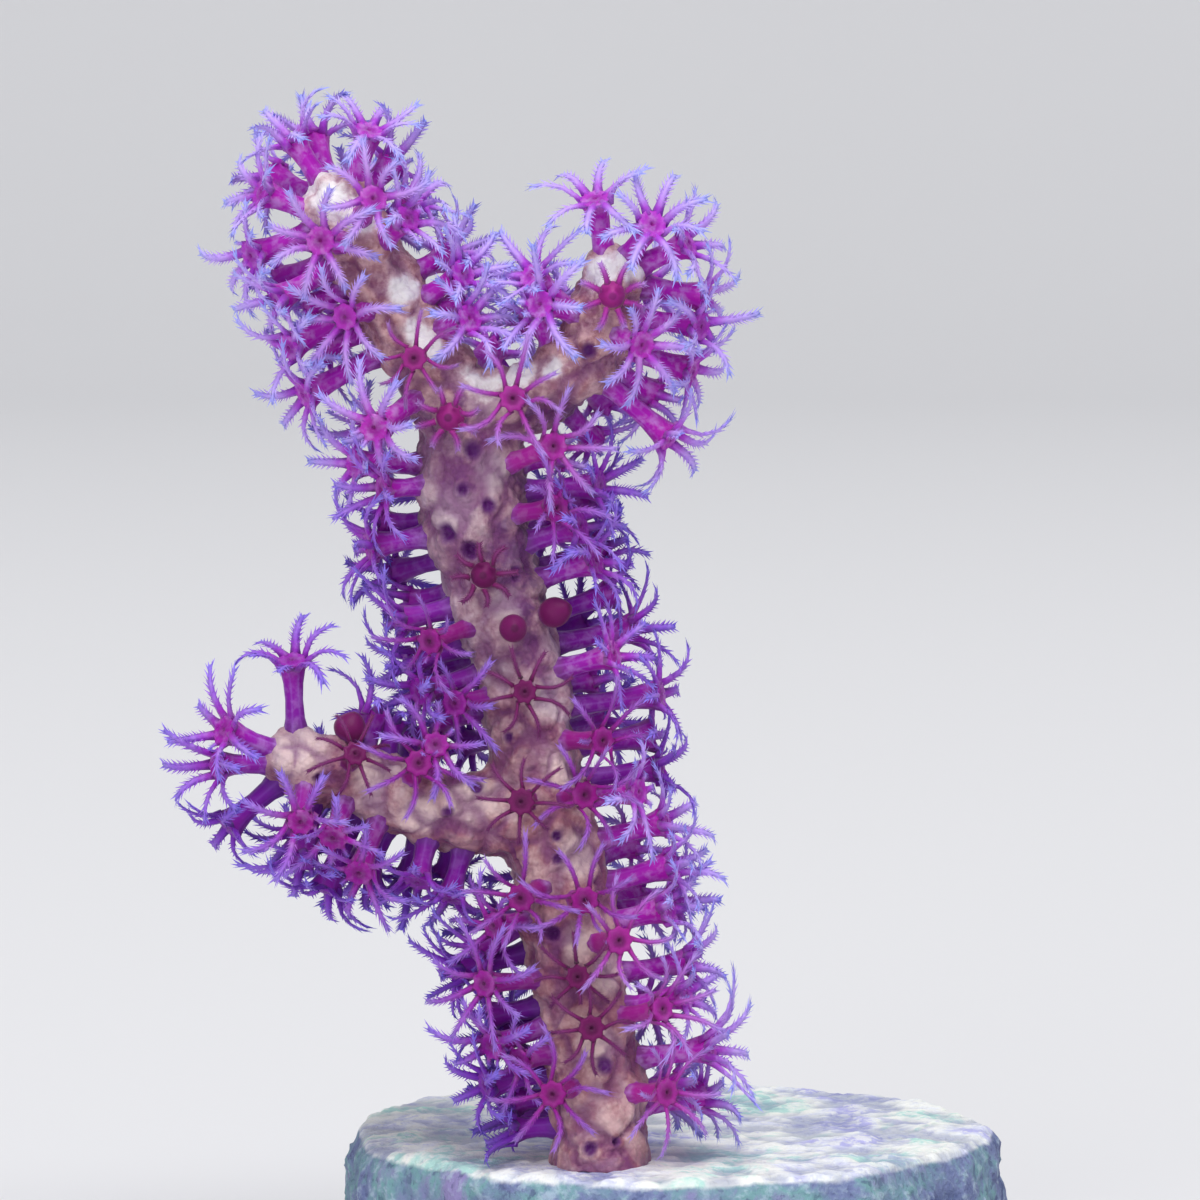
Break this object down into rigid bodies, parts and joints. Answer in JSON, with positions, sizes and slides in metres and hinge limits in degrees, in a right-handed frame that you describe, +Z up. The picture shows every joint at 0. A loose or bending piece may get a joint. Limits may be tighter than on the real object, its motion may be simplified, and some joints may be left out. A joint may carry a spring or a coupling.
{
  "type": "echinogorgia gorgonian",
  "caption": "Young branching gorgonian on a flat round reef stone: a leaning stem with two side branches, covered all over in open eight-armed polyps.",
  "frame": {"origin": "middle of the reef stone's flat underside", "axes": "+Z up along the coral's growth, -Y towards the viewer, +X to the viewer's right"},
  "size_m": [0.0416, 0.0339, 0.0605],
  "materials": {
    "stem_flesh": "satin",
    "polyp_flesh": "satin",
    "reef_stone": "matte"
  },
  "bodies": {
    "root": {"lower_stem": "stem_flesh", "upper_stem": "stem_flesh", "upper_left_branch": "stem_flesh", "upper_right_branch": "stem_flesh", "lower_left_branch": "stem_flesh", "reef_stone": "reef_stone"}
  },
  "joints": []
}
